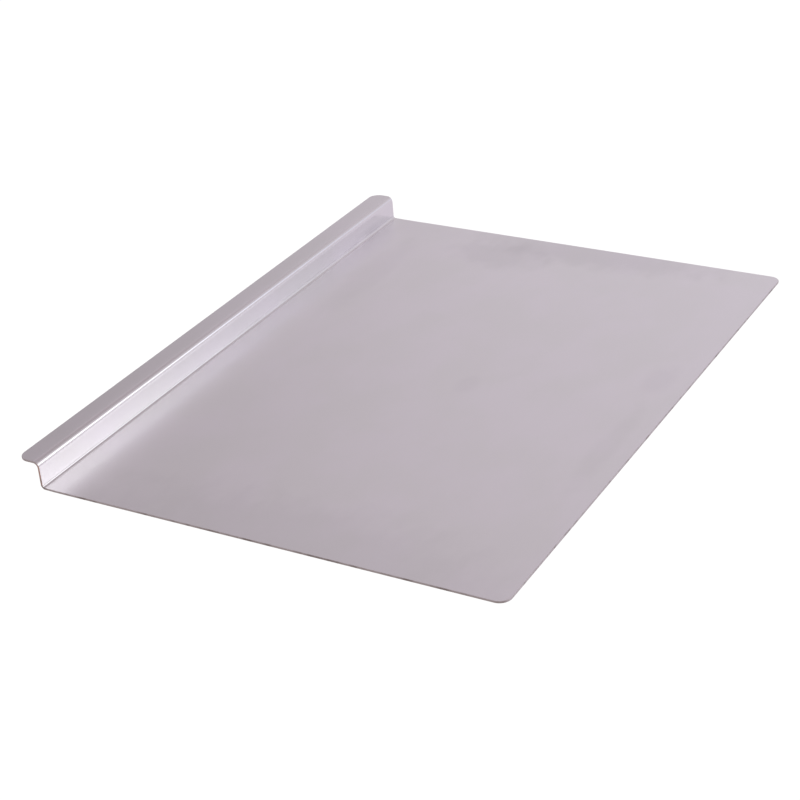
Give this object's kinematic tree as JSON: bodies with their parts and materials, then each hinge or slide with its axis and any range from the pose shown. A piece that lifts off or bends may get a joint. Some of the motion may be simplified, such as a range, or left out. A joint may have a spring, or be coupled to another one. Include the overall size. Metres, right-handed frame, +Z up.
{
  "type": "cookie sheet",
  "caption": "Flat rectangular metal baking sheet with rounded corners, open on three sides, its back edge folded up and out into a lip for gripping.",
  "frame": {"origin": "on the table, under the middle of the sheet's outline", "axes": "+Z up from the table, +X along the lip, +Y from the open front edge back to the lip"},
  "size_m": [0.4064, 0.3048, 0.0175],
  "materials": {
    "bare_metal": "satin mill-rolled sheet, uncoated, with broken cut edges"
  },
  "bodies": {
    "root": {"folded_sheet": "bare_metal"}
  },
  "joints": []
}
